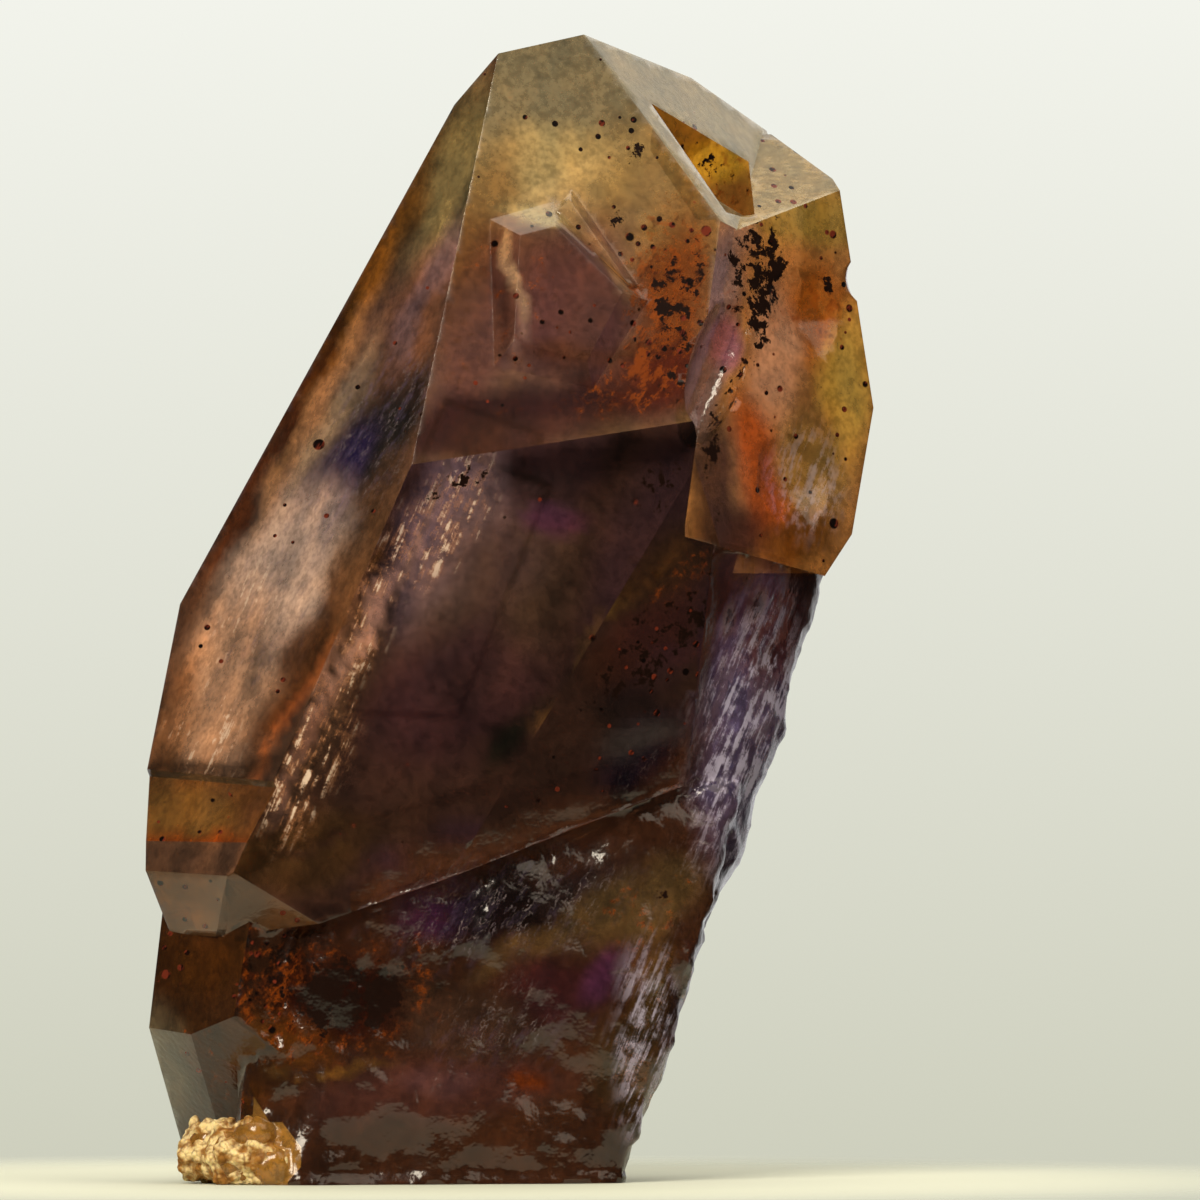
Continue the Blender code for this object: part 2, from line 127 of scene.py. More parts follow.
TINTS = [
    # The large front tip face: olive and honey at the top, mauve round the raised plate, orange low down.
    # Thin lines along the plate's edges are painted highlights and painted shade.
    Patch("tip", "#A89872", 7.0, 57.5, (7.0, 3.6), 0, 1.0),
    Patch("tip", "#F8D68C", 6.0, 52.8, (4.5, 2.2), 10, 0.8),
    Patch("tip", "#A28042", 12.5, 51.0, (3.4, 4.5), 0, 0.8),
    Patch("tip", "#A87230", 3.4, 50.0, (1.6, 4.0), -14, 0.7),
    Patch("tip", "#7E3C04", 13.4, 45.6, (1.6, 4.6), -10, 0.9),
    Patch("tip", "#5C1604", 12.0, 41.8, (3.6, 1.6), 20, 0.9),
    Patch("tip", "#643C2C", 8.0, 46.0, (3.6, 4.4), 0, 1.0),
    Patch("tip", "#6A402A", 3.0, 44.6, (2.0, 5.0), -12, 0.9),
    # Pale lines along the raised plate's top and right edges: painted highlights on its rims.
    Patch("tip", "#DCC682", 6.2, 50.7, (1.8, 0.5), -4, 0.8),
    Patch("tip", "#A67C4A", 9.6, 48.8, (2.8, 0.35), -52, 0.8),
    Patch("tip", "#300A04", 4.0, 39.4, (7.5, 1.6), 6, 0.9),
    Patch("tip", "#180404", 6.6, 40.6, (3.6, 0.9), 6, 0.8),
    Patch("tip", "#542A04", 9.4, 43.2, (3.6, 0.5), 0, 0.7),
    # Along the plate's left and lower edges: the pale lines are painted highlights, the dark lines painted shade.
    Patch("tip", "#DCB27C", 4.9, 47.4, (2.4, 0.22), 96, 0.8),
    Patch("tip", "#9A745A", 5.0, 43.6, (1.6, 0.25), 70, 0.7),
    Patch("tip", "#200A04", 4.3, 46.0, (3.2, 0.25), 96, 0.7),
    Patch("tip", "#301E12", 7.8, 42.4, (2.0, 0.25), -6, 0.6),
    # The striped front: dark smoky brown and purple. Its pale pink stripes along the ridge at its left are painted
    # highlights of light reflected inside the crystal.
    Patch("front", "#100604", 8.0, 37.5, (9.0, 1.0), 7, 1.0),
    Patch("front", "#7E686C", 1.6, 33.6, (4.6, 2.0), 66, 0.9),
    Patch("front", "#443226", -4.4, 24.6, (7.0, 1.2), 63, 0.9),
    Patch("front", "#D8A492", -2.2, 29.4, (5.5, 0.4), 60, 0.8),
    Patch("front", "#8C665A", -5.6, 22.6, (4.0, 0.4), 62, 0.8),
    Patch("front", "#FAC2B6", -6.8, 23.4, (6.0, 0.3), 62, 0.8),
    Patch("front", "#6C4214", -4.0, 28.8, (6.0, 0.3), 65, 0.7),
    Patch("front", "#483628", 4.4, 30.5, (5.0, 3.0), 60, 0.8),
    Patch("front", "#2E1820", 2.4, 25.5, (4.5, 3.0), 30, 0.8),
    Patch("front", "#040404", 4.8, 23.0, (1.4, 1.0), 0, 0.9),
    Patch("front", "#2C1A1A", 3.4, 22.6, (0.7, 0.5), 0, 0.7),
    Patch("front", "#4A2438", 7.2, 34.8, (1.5, 0.6), 8, 0.9),
    Patch("front", "#26140C", 7.6, 36.0, (2.4, 0.4), 8, 0.7),
    Patch("front", "#422C12", -6.0, 17.4, (4.5, 1.6), 12, 0.9),
    Patch("front", "#362210", -2.0, 17.2, (8.0, 0.35), 11, 0.8),
    Patch("front", "#301C14", 0.0, 18.9, (7.0, 0.3), 13, 0.8),
    Patch("front", "#22122C", 3.0, 17.4, (5.0, 1.2), 14, 0.8),
    Patch("front", "#563C1C", 9.4, 28.8, (1.3, 0.25), 62, 0.8),
    Patch("front", "#5A401E", 7.8, 25.6, (2.2, 0.25), 57, 0.8),
    Patch("front", "#040A04", 5.6, 23.6, (3.0, 0.5), 52, 0.7),
    Patch("front_right", "#A46820", 12.7, 32.1, (1.8, 0.25), 44, 0.8),
    Patch("front_right", "#846026", 10.7, 30.4, (1.1, 0.3), 30, 0.9),
    Patch("front_right", "#2A1A04", 13.4, 32.2, (3.6, 1.6), 30, 0.9),
    Patch("front_right", "#361808", 11.8, 28.4, (3.2, 1.2), 40, 0.8),
    Patch("front_right", "#0C0806", 11.0, 24.8, (1.8, 1.2), 0, 0.9),
    Patch("front_right", "#2E1814", 14.4, 27.9, (1.4, 0.6), 20, 0.9),
    Patch("front_right", "#0A041A", 12.6, 22.4, (3.0, 1.6), 30, 0.8),
    Patch("front_right", "#383A3A", 12.2, 23.2, (2.0, 0.5), 10, 0.6),
    # The left face: stripes along its outer edge, the pale ones partly painted highlights; milky in the middle,
    # partly a painted soft highlight there; blue and violet near the ridge's top.
    Patch("left", "#9C8A58", 2.2, 53.0, (4.5, 2.0), 62, 0.9),
    Patch("left", "#24281E", 1.0, 55.0, (2.6, 0.8), 50, 0.7),
    Patch("left", "#8A5410", -2.6, 47.5, (7.0, 1.0), 63, 0.9),
    Patch("left", "#662E04", -7.6, 38.4, (8.0, 0.5), 62, 0.8),
    Patch("left", "#D49660", -6.0, 38.6, (7.0, 0.5), 63, 0.8),
    Patch("left", "#D0AE88", -4.6, 38.6, (6.0, 0.7), 62, 0.8),
    Patch("left", "#8C5A3C", -0.2, 44.4, (4.0, 1.4), 66, 0.8),
    Patch("left", "#AA8280", 0.6, 46.6, (3.6, 0.6), 66, 0.7),
    Patch("left", "#282420", -2.0, 39.0, (3.6, 1.6), 58, 1.0),
    Patch("left", "#1E164A", -4.6, 36.4, (3.6, 1.2), 56, 0.8),
    Patch("left", "#FAD6C0", -7.0, 31.4, (4.6, 2.4), 62, 0.9),
    Patch("left", "#8A5C36", -3.4, 31.4, (5.0, 1.0), 66, 0.8),
    Patch("left", "#5E3208", -6.4, 26.4, (4.6, 0.8), 62, 0.8),
    Patch("left", "#D67234", -6.6, 24.0, (4.6, 0.3), 62, 0.6),
    Patch("left", "#EAB48E", -10.0, 26.0, (4.5, 2.0), 70, 0.9),
    Patch("left", "#9E6638", -12.6, 24.0, (3.0, 1.0), 80, 0.7),
    Patch("left", "#181204", -10.6, 21.6, (3.6, 0.5), 4, 0.8),
    # The side crystal: honey and olive at the rim, orange iron on the rib, pink in the middle.
    Patch("side", "#BE9A44", 20.6, 50.4, (2.8, 1.4), 0, 0.9),
    Patch("side", "#BE6004", 21.2, 45.2, (1.4, 2.2), 0, 0.8),
    Patch("side", "#D69E7A", 19.0, 43.6, (1.2, 3.0), 0, 0.9),
    Patch("side", "#EABA4E", 22.9, 41.6, (3.6, 1.2), 85, 0.9),
    Patch("side", "#B08644", 20.7, 37.2, (2.0, 2.4), 0, 0.9),
    Patch("side", "#C85404", 18.2, 37.0, (3.8, 1.0), 102, 0.9),
    Patch("side", "#72420A", 20.0, 33.6, (2.0, 1.0), 20, 0.9),
    Patch("side", "#320C04", 16.6, 33.8, (2.0, 1.4), 0, 0.9),
    Patch("side", "#3E281A", 15.6, 36.4, (4.4, 0.9), 92, 0.9),
    Patch("side", "#A07E74", 15.6, 44.6, (5.4, 1.0), 78, 1.0),
    Patch("side", "#B26882", 16.2, 43.7, (1.1, 0.7), 80, 0.8),
    # The heel and the foot.
    Patch("step", "#88622C", -12.2, 19.2, (2.6, 1.6), 0, 0.8),
    Patch("step", "#9C4004", -11.4, 17.6, (2.6, 0.6), 0, 0.8),
    Patch("heel", "#76460E", -12.2, 14.4, (2.6, 1.8), 0, 0.9),
    Patch("low_heel", "#7C6E54", -13.2, 6.2, (2.6, 1.2), 100, 1.0),
    Patch("low_heel", "#5E340C", -11.4, 11.4, (2.4, 1.6), 0, 0.9),
    Patch("broken", "#1A0C04", -8.6, 10.4, (2.6, 4.0), 0, 0.9),
    Patch("broken", "#2A0A04", -3.6, 9.4, (3.4, 2.0), 10, 0.8),
    Patch("broken", "#442040", 1.4, 14.2, (2.4, 1.2), 10, 0.9),
    Patch("broken", "#060404", 4.6, 14.4, (2.6, 1.8), 10, 0.9),
    Patch("broken", "#261A1A", 9.0, 15.6, (2.4, 1.0), 20, 0.7),
    Patch("broken", "#604828", 11.8, 14.6, (3.4, 1.5), 26, 1.0),
    Patch("broken", "#604828", 6.4, 12.6, (3.0, 0.6), 30, 0.8),
    Patch("broken", "#38161A", 7.2, 10.2, (2.2, 1.6), 0, 0.8),
    Patch("broken", "#502648", 9.8, 10.8, (1.4, 0.7), 60, 0.8),
    Patch("broken", "#463022", 2.4, 8.6, (3.0, 1.6), -20, 0.7),
    Patch("broken", "#64380C", -8.0, 6.0, (3.0, 2.4), 0, 0.9),
    Patch("broken", "#2C1A0C", -4.6, 5.4, (4.6, 0.8), -10, 0.8),
    Patch("broken", "#8C6024", -4.4, 6.0, (2.6, 0.16), 4, 0.8),
    Patch("broken", "#502E26", 0.6, 4.8, (6.5, 1.4), 6, 0.9),
    Patch("broken", "#543636", 1.6, 5.4, (2.2, 0.6), 8, 0.8),
    Patch("broken", "#662A04", 5.8, 5.5, (0.9, 0.5), -20, 0.9),
    Patch("broken", "#58401E", 12.4, 10.0, (1.0, 2.6), -10, 0.9),
    Patch("broken", "#4A361C", 11.4, 6.0, (1.8, 2.4), 0, 0.9),
    Patch("broken", "#665A82", 17.6, 24.0, (6.0, 2.0), 80, 1.0),
    Patch("broken", "#5E2404", 18.8, 29.0, (2.4, 1.4), 80, 0.8),
    Patch("broken", "#301004", 15.6, 30.2, (1.8, 1.2), 0, 0.8),
    # The recess: iron amber painted bright as a painted glow of light shining through it, darker iron below.
    Patch("recess", "#FFB41C", 15.8, 53.6, (1.6, 0.9), 0, 1.0),
    Patch("recess", "#74340A", 16.6, 51.6, (1.0, 1.2), 0, 0.8),
    # The back: honey above, violet across the middle, brown below.
    Patch("back", "#C8A468", 10.0, 54.0, (9.0, 5.0), 0, 0.9),
    Patch("back", "#7A5C96", 3.0, 38.0, (9.0, 3.6), 60, 0.9),
    Patch("back", "#B08A9A", 8.0, 42.0, (8.0, 1.4), 66, 0.8),
    Patch("back", "#C09070", 0.0, 31.0, (8.0, 1.6), 66, 0.8),
    Patch("back", "#5A3E70", 11.0, 33.0, (6.0, 2.4), 70, 0.8),
    Patch("back", "#B4622A", 14.0, 46.0, (4.0, 2.0), 70, 0.8),
    Patch("back", "#A8743A", -7.0, 27.0, (7.0, 2.4), 70, 0.8),
    Patch("back", "#9A5A5C", 4.0, 7.0, (10.0, 3.0), 0, 0.7),
    Patch("back", "#8A5426", -6.0, 11.0, (4.0, 4.0), 0, 0.7),
]


# The lumps of crust, each its middle and radius in mm, over the lumps of the solid.
CRUST_LUMPS = [
    ((-10.6, -6.4, 1.6), 1.85),
    ((-9.3, -8.6, 1.3), 1.75),
    ((-8.4, -9.1, 2.3), 1.2),
    ((-7.5, -9.3, 1.0), 1.3),
    ((-9.9, -7.6, 2.7), 0.9),
    ((-11.5, -5.8, 2.6), 0.8),
]

# A mark is a patch where one kind of fine marking lies thickly, drawn by the material.
Mark = namedtuple("Mark", "kind place across up half turn strength")

# The kinds, in the channels of the two colour layers that carry them.
KINDS = (("rust", "iron", "speck"), ("frost_and_highlight", "painted_glint", "wisp"), ("needle", "hackle"))

MARKS = [
    Mark("hackle", "broken", 4.0, 16.0, (40.0, 40.0), 0, 1.0),
    Mark("hackle", "step", -10.8, 21.2, (3.6, 0.6), 0, 1.0),
    Mark("hackle", "toe", -8.6, 13.6, (4.0, 4.0), 0, 0.5),
    Mark("hackle", "low_heel", -12.0, 8.0, (6.0, 9.0), 0, 0.6),
    Mark("speck", "tip", 9.0, 50.0, (9.0, 11.0), 0, 0.35),
    Mark("speck", "tip", 13.6, 46.5, (2.6, 6.5), -5, 1.0),
    Mark("rust", "tip", 13.4, 45.6, (2.2, 4.8), -10, 0.72),
    Mark("rust", "tip", 11.0, 41.2, (3.6, 1.2), 20, 0.6),
    Mark("rust", "tip", 4.0, 44.6, (3.0, 5.0), -12, 0.28),
    Mark("rust", "tip", 7.0, 53.0, (9.0, 6.0), 0, 0.2),
    Mark("iron", "tip", 13.9, 45.0, (1.3, 5.0), -5, 0.68),
    Mark("iron", "tip", 11.4, 53.8, (0.6, 0.5), 0, 0.9),
    Mark("iron", "tip", 10.2, 50.6, (0.5, 0.6), 0, 0.7),
    Mark("speck", "front", 3.0, 25.0, (14.0, 13.0), 60, 0.75),
    Mark("speck", "front", -4.0, 17.6, (7.0, 2.4), 12, 1.0),
    # Painted highlights: coppery glints of light reflected inside, along the ridge.
    Mark("painted_glint", "front", 1.6, 34.4, (3.4, 1.4), 60, 0.9),
    Mark("painted_glint", "front", -3.6, 27.6, (8.0, 1.2), 62, 0.9),
    Mark("painted_glint", "front", -5.4, 21.6, (3.6, 1.3), 62, 1.0),
    Mark("iron", "front", 2.6, 36.6, (2.6, 0.8), 20, 0.6),
    Mark("iron", "front", 13.2, 36.0, (1.6, 2.0), 20, 0.6),
    Mark("iron", "front_right", 12.4, 28.0, (5.5, 1.5), 45, 0.7),
    Mark("speck", "front_right", 12.4, 27.0, (8.0, 4.5), 45, 0.6),
    Mark("rust", "front_right", 14.6, 31.6, (2.4, 1.4), 30, 0.5),
    Mark("needle", "front_right", 12.4, 20.6, (3.0, 1.0), 30, 0.6),
    # Painted highlights: coppery glints of light reflected inside, along the ridge.
    Mark("painted_glint", "left", -8.6, 29.6, (2.6, 1.4), 62, 0.5),
    Mark("painted_glint", "left", -11.0, 23.6, (2.2, 1.6), 66, 0.7),
    Mark("wisp", "left", -2.4, 39.0, (4.8, 1.8), 58, 1.0),
    Mark("needle", "left", -2.4, 38.6, (5.0, 2.0), 58, 0.8),
    Mark("wisp", "left", -7.0, 31.0, (6.0, 2.0), 62, 0.5),
    Mark("rust", "left", -11.6, 24.6, (3.0, 1.4), 80, 0.25),
    Mark("speck", "left", -4.0, 38.0, (18.0, 6.0), 62, 0.22),
    Mark("speck", "step", -11.8, 18.6, (3.0, 3.0), 0, 0.9),
    Mark("iron", "step", -12.9, 16.9, (0.9, 0.4), 0, 1.0),
    Mark("rust", "step", -12.0, 17.8, (3.0, 1.0), 0, 0.4),
    Mark("speck", "heel", -11.8, 15.0, (3.0, 4.0), 0, 1.0),
    Mark("speck", "toe", -8.6, 13.6, (2.4, 1.6), 0, 0.8),
    Mark("speck", "low_heel", -12.4, 8.0, (3.0, 6.0), 0, 0.7),
    Mark("rust", "low_heel", -10.4, 5.4, (2.0, 3.6), 10, 0.4),
    Mark("speck", "broken", -8.0, 10.0, (3.0, 3.0), 0, 0.8),
    Mark("iron", "broken", -3.4, 9.8, (3.4, 1.8), 15, 1.0),
    Mark("hackle", "side", 15.8, 44.0, (6.0, 1.5), 78, 0.9),
    Mark("iron", "side", 15.6, 36.6, (3.2, 0.5), 92, 0.5),
    Mark("rust", "broken", -3.8, 9.6, (5.6, 3.2), 15, 0.5),
    Mark("rust", "broken", -8.0, 11.0, (2.6, 3.6), 10, 0.4),
    Mark("rust", "broken", 12.2, 14.4, (3.6, 1.6), 30, 0.4),
    Mark("iron", "broken", 12.8, 15.4, (1.0, 0.5), 30, 0.7),
    # Frosted breaks, whitish and flecked with painted highlights.
    Mark("frost_and_highlight", "broken", 17.6, 23.6, (6.0, 2.2), 80, 1.0),
    Mark("frost_and_highlight", "broken", 12.4, 7.0, (1.6, 5.0), 0, 0.7),
    Mark("needle", "broken", 4.4, 14.4, (5.0, 2.0), 10, 1.0),
    Mark("needle", "broken", 5.0, 8.6, (2.6, 1.6), 0, 0.7),
    Mark("needle", "broken", 15.4, 19.6, (4.0, 1.6), 80, 0.7),
    Mark("wisp", "broken", 4.4, 14.4, (6.0, 2.4), 10, 0.4),
    Mark("wisp", "broken", 5.0, 7.6, (4.0, 1.2), 4, 0.3),
    Mark("rust", "side", 18.0, 39.6, (5.6, 0.9), 102, 0.45),
    Mark("rust", "side", 21.6, 45.4, (1.2, 2.2), 10, 0.6),
    Mark("rust", "side", 18.2, 47.6, (2.0, 3.6), 0, 0.5),
    Mark("iron", "side", 18.0, 47.6, (1.5, 3.2), 0, 0.84),
    Mark("iron", "side", 16.7, 41.3, (4.5, 0.6), 68, 0.62),
    Mark("iron", "side", 21.8, 46.8, (0.7, 0.6), 0, 0.7),
    Mark("speck", "side", 20.0, 43.0, (4.0, 9.0), 0, 0.5),
    # Frosted breaks, whitish and flecked with painted highlights.
    Mark("frost_and_highlight", "side", 20.6, 36.6, (1.6, 2.4), 0, 0.4),
    Mark("speck", "side_top", 18.6, 53.2, (3.6, 2.0), -30, 1.0),
    Mark("iron", "side_top", 17.4, 54.2, (1.4, 0.4), 30, 0.6),
    Mark("iron", "recess", 15.4, 53.4, (2.4, 0.7), -40, 0.6),
    Mark("rust", "recess", 15.8, 53.0, (3.0, 2.0), -40, 0.5),
    Mark("speck", "right_tip", 14.0, 56.0, (5.0, 3.0), -35, 0.25),
    Mark("speck", "back", 4.0, 30.0, (20.0, 26.0), 0, 0.4),
    Mark("rust", "back", 12.0, 44.0, (4.0, 7.0), 20, 0.5),
    Mark("iron", "back", -6.0, 24.0, (5.0, 2.0), 60, 0.5),
    Mark("wisp", "back", 2.0, 36.0, (8.0, 4.0), 60, 0.8),
    Mark("rust", "back", -8.0, 8.0, (4.0, 6.0), 0, 0.5),
    # Painted highlights: glints of light reflected inside, across the back.
    Mark("painted_glint", "back", 0.0, 31.0, (8.0, 1.4), 66, 0.7),
    Mark("needle", "back", 6.0, 12.0, (8.0, 3.0), 20, 0.7),
]


def add_node(tree, kind, settings=(), inputs=(), links=()):
    """Adds a shader node. settings are its own values, inputs are socket values, links are sources."""
    made = tree.nodes.new(kind)
    for name, value in dict(settings).items():
        setattr(made, name, value)
    for name, value in dict(inputs).items():
        made.inputs[name].default_value = value
    for name, source in dict(links).items():
        tree.links.new(source, made.inputs[name])
    return made


def only(obj):
    """Selects this object alone and makes it the active one."""
    bpy.ops.object.select_all(action="DESELECT")
    obj.select_set(True)
    bpy.context.view_layer.objects.active = obj


def apply_all(obj):
    only(obj)
    for name in [modifier.name for modifier in obj.modifiers]:
        bpy.ops.object.modifier_apply(modifier=name)


def place_of(centre, normal, area):
    """The index in PLACES of a face of the solid, by where it is and how it looks. In mm."""
    across, depth, up = centre
    if any((centre - Vector(middle)).length < radius + 0.5 for middle, radius in CRUST_LUMPS):
        return PLACES.index("crust")
    if area > 3.0:
        for index, facing in enumerate(FACES.values()):
            if normal.dot(Vector(facing).normalized()) > 0.9985:
                return index
    if 11.0 < across < 17.8 and up > 50.0 and depth < 4.0:
        return PLACES.index("recess")
    if across > 14.0 and up > 31.5:
        return PLACES.index("back" if normal.y > 0.5 else "side")
    if across < -8.6 and up < 16.5:
        return PLACES.index("low_heel")
    if across < -7.0 and 16.0 < up < 22.0 and normal.y < 0.0:
        return PLACES.index("step")
    if area > 4.0 and normal.y > 0.0:
        return PLACES.index("back")
    return PLACES.index("tip" if 41.0 < up and normal.y < 0.0 else "broken")


def copy_of_solid():
    """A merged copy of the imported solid, with its flat faces whole again."""
    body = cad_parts[NODE].copy()
    body.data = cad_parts[NODE].data.copy()
    bpy.context.scene.collection.objects.link(body)
    body.name = body.data.name = "stained_quartz"
    body.parent = None
    only(body)
    bpy.ops.object.mode_set(mode="EDIT")
    bpy.ops.mesh.select_all(action="SELECT")
    bpy.ops.mesh.remove_doubles(threshold=0.002 * MM)
    bpy.ops.mesh.dissolve_limited(angle_limit=math.radians(0.6))
    bpy.ops.object.mode_set(mode="OBJECT")
    return body


def sort_faces(body):
    """Keeps each face's place as its material index, which every later cut hands on."""
    data = body.data
    data.materials.clear()
    for name in PLACES:
        data.materials.append(bpy.data.materials.new("place_" + name))
    for face in data.polygons:
        face.material_index = place_of(face.center / MM, face.normal, face.area / MM**2)


def ease_edges(body, width):
    """Rounds the long sharp edges between flat faces a little, as handling does."""
    bpy.ops.object.mode_set(mode="EDIT")
    bpy.ops.mesh.select_mode(type="EDGE")
    bpy.ops.mesh.select_all(action="DESELECT")
    mesh = bmesh.from_edit_mesh(body.data)
    rough = PLACES.index("broken")
    for edge in mesh.edges:
        flat = all(face.material_index != rough and face.calc_area() > 0.5 * MM**2 for face in edge.link_faces)
        if flat and edge.calc_length() > 1.0 * MM and edge.calc_face_angle(0.0) > math.radians(12):
            edge.select_set(True)
    bmesh.update_edit_mesh(body.data)
    bpy.ops.mesh.bevel(offset=width, segments=2, affect="EDGES", clamp_overlap=True)
    bpy.ops.object.mode_set(mode="OBJECT")


def cut_fine(body, spacings):
    """Cuts the faces by evenly spaced planes in all three directions, so that stains can lie on them."""
    bpy.ops.object.mode_set(mode="EDIT")
    for axis, spacing in enumerate(spacings):
        count = int((HIGH[axis] - LOW[axis]) / spacing)
        facing = [0.0, 0.0, 0.0]
        facing[axis] = 1.0
        for step in range(1, count + 1):
            point = list(MIDDLE)
            point[axis] = LOW[axis] + (step - 0.43) * spacing
            bpy.ops.mesh.select_all(action="SELECT")
            bpy.ops.mesh.bisect(plane_co=point, plane_no=facing)
    bpy.ops.object.mode_set(mode="OBJECT")


def over_rim(points):
    """How far above the front's lower rim each point is, in mm."""
    return points[:, 2] - 15.1 - 0.3 * (points[:, 0] + 0.5) - 0.25 * (points[:, 1] + 10.0)


def break_rim(body):
    """Hands the front's lower rim, past the sharp part at its left, over to the broken quartz below it."""
    rough = PLACES.index("broken")
    fronts = (PLACES.index("front"), PLACES.index("front_right"))
    for face in body.data.polygons:
        centre = face.center / MM
        ragged = 1.5 + 1.6 * noise.noise(centre * 0.6)
        if face.material_index in fronts and centre.x > -3.5 and over_rim(np.array([centre]))[0] < ragged:
            face.material_index = rough


def run_together(body, values, points, place):
    """Blurs values on the corners near the ragged rim, so that the places on both sides of it run together."""
    data = body.data
    corner = np.empty(len(data.loops), np.int32)
    data.loops.foreach_get("vertex_index", corner)
    starts = np.empty(len(data.polygons), np.int32)
    data.polygons.foreach_get("loop_start", starts)
    sizes = np.diff(np.append(starts, len(corner)))
    meeting = np.isin(place, [PLACES.index(name) for name in ("front", "front_right", "broken")])
    near = meeting & (points[:, 0] > -3.0) & (np.abs(over_rim(points) - 1.5) < 3.5)
    for _ in range(3):
        total = np.zeros((len(data.vertices), 3))
        np.add.at(total, corner[near], values[near])
        count = np.bincount(corner[near], minlength=len(total))
        at_vertex = (total / np.maximum(count, 1)[:, None])[corner]
        at_vertex[~near] = values[~near]
        in_face = np.repeat(np.add.reduceat(at_vertex, starts) / sizes[:, None], sizes, axis=0)
        values[near] = (at_vertex[near] + in_face[near]) / 2
    return values


def roughen(body, name, kind, width, depth, middle, group):
    """Pushes the vertices of a group in and out by a texture of this width."""
    pattern = bpy.data.textures.new(name, kind)
    pattern.noise_scale = width
    push = body.modifiers.new(name, "DISPLACE")
    push.texture = pattern
    push.texture_coords = "LOCAL"
    push.vertex_group = group
    push.mid_level = middle
    push.strength = depth
    return pattern


def break_up(body, settings):
    """Gives the broken places fine hackle: their facets are rounded, then shells and chips pushed in."""
    rough = PLACES.index("broken")
    only(body)
    bpy.ops.object.mode_set(mode="EDIT")
    bpy.ops.mesh.select_mode(type="FACE")
    bpy.ops.mesh.select_all(action="DESELECT")
    mesh = bmesh.from_edit_mesh(body.data)
    for face in mesh.faces:
        face.select_set(face.material_index == rough)
    bmesh.update_edit_mesh(body.data)
    bpy.ops.mesh.quads_convert_to_tris()
    group = body.vertex_groups.new(name="broken")
    bpy.ops.object.mode_set(mode="OBJECT")
    inside = {}
    for face in body.data.polygons:
        for corner in face.vertices:
            inside.setdefault(corner, []).append(face.material_index == rough)
    chosen = [corner for corner, found in inside.items() if all(found)]
    chosen = [corner for corner in chosen if body.data.vertices[corner].co.z > 0.3 * MM]
    group.add(chosen, 1.0, "REPLACE")
    soften = body.modifiers.new("soften", "SMOOTH")
    soften.factor = 0.5
    soften.iterations = 3
    soften.vertex_group = "broken"
    shells = roughen(body, "hackle", "VORONOI", settings.hackle_width, -settings.hackle_depth, 0.0, "broken")
    shells.weight_1, shells.weight_2 = -1.0, 1.0
    roughen(body, "chips", "VORONOI", settings.chip_width, -settings.chip_depth, 0.0, "broken")
    apply_all(body)


def corner_values(body):
    """Where each of the mesh's corners is in mm, a little disturbed, its two noises, and its face's place."""
    data = body.data
    corner = np.empty(len(data.loops), np.int32)
    data.loops.foreach_get("vertex_index", corner)
    points = np.empty(len(data.vertices) * 3, np.float32)
    data.vertices.foreach_get("co", points)
    points = points.reshape(-1, 3) / MM
    along_ridge = Matrix.Diagonal((1.1, 0.6, 0.16)) @ Matrix.Rotation(math.radians(-RIDGE_TURN), 3, "Y")
    wobble = np.array([noise.noise_vector(Vector(point) * 0.35) for point in points])
    cloud = np.array([noise.fractal(Vector(point) * 0.3, 0.8, 2.1, 5) for point in points])
    stripe = np.array([noise.fractal(along_ridge @ Vector(point), 0.9, 2.0, 3) for point in points])
    index = [face.material_index for face in data.polygons]
    place = np.repeat(index, [face.loop_total for face in data.polygons])
    return (points + wobble * 0.7)[corner], cloud[corner], stripe[corner], place


def share_of(patch, points, place):
    """How much of a patch or mark each corner has: all inside its oval, fading to none outside."""
    turn = math.radians(patch.turn)
    across, up = points[:, 0] - patch.across, points[:, 2] - patch.up
    along = (across * math.cos(turn) + up * math.sin(turn)) / patch.half[0]
    beside = (up * math.cos(turn) - across * math.sin(turn)) / patch.half[1]
    share = np.clip(1.6 - np.hypot(along, beside), 0.0, 1.0)
    return share * share * (3 - 2 * share) * patch.strength * (place == PLACES.index(patch.place))


def add_layer(body, name, colours):
    layer = body.data.color_attributes.new(name, "FLOAT_COLOR", "CORNER")
    values = np.c_[colours, np.ones(len(colours))]
    layer.data.foreach_set("color", values.ravel().astype(np.float32))


def paint(body):
    """Writes the soft stains, with the painted highlights and painted shade among them, and the thickness of each
    kind of mark as colours on the mesh's corners.
    """
    points, cloud, stripe, place = corner_values(body)
    colours = np.array([linear(GROUNDS[name]) for name in PLACES])[place]
    for patch in TINTS:
        colours += (np.array(linear(patch.colour)) - colours) * share_of(patch, points, place)[:, None]
    striped = np.isin(place, [PLACES.index(name) for name in STRIPED])
    calm = np.isin(place, [PLACES.index(name) for name in CALM])
    light = 1.0 + np.where(calm, 0.25, 0.5) * cloud + np.where(striped, 0.6, 0.15) * stripe
    warmth = 1.0 + np.outer(cloud + stripe, (0.08, 0.0, -0.1))
    colours *= np.clip(light, 0.35, 2.2)[:, None] * np.clip(warmth, 0.7, 1.4)
    add_layer(body, "tint", run_together(body, colours, points, place))
    for number, kinds in enumerate(KINDS):
        thickness = np.zeros((len(points), 3))
        for mark in MARKS:
            if mark.kind in kinds:
                channel = thickness[:, kinds.index(mark.kind)]
                channel += (1.0 - channel) * share_of(mark, points, place)
        add_layer(body, f"marks_{number}", run_together(body, thickness, points, place))


